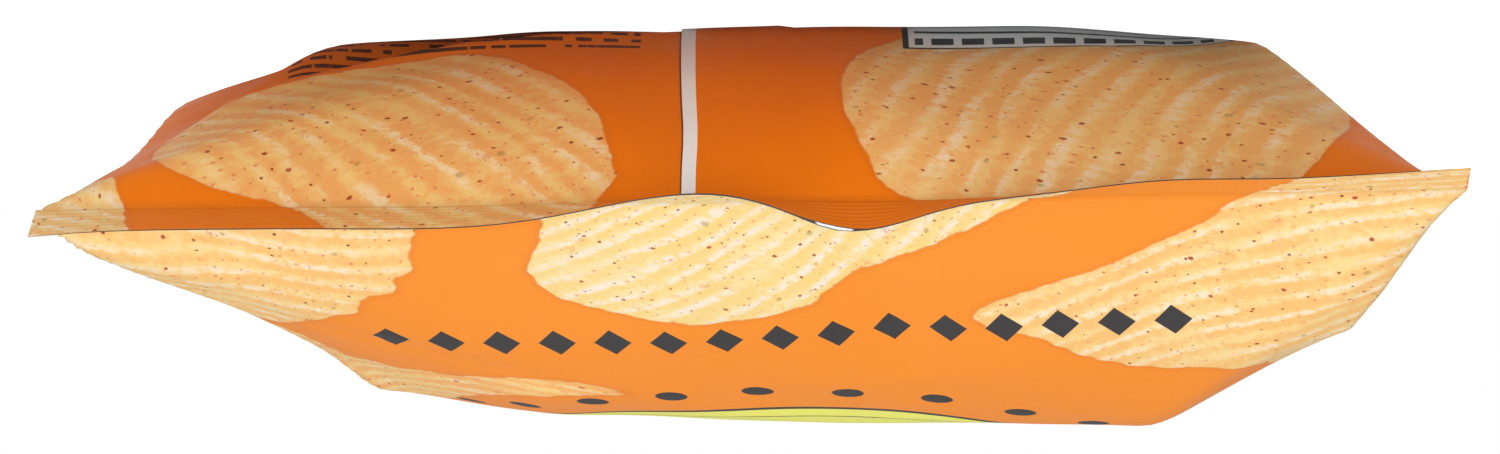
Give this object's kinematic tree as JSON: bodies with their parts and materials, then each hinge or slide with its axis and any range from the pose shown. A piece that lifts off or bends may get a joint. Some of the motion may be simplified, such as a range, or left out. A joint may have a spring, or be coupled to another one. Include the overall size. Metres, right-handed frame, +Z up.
{
  "type": "bag of crisps",
  "caption": "Shut pillow bag of ridged crisps in printed film, lying on its back panel, with a flat seal across each end and a lap seam down the back.",
  "frame": {"origin": "middle of the bag's outline, on the surface that its back panel lies on", "axes": "+X across the bag, to the left of someone who reads the front with the top seal away from them; +Y along the bag from the top seal to the bottom seal; +Z up, out of the front panel"},
  "size_m": [0.19, 0.264, 0.0588],
  "materials": {
    "film": "satin printed film, orange with pictures of pale yellow ridged crisps"
  },
  "bodies": {
    "root": {"bag": "film"}
  },
  "joints": []
}
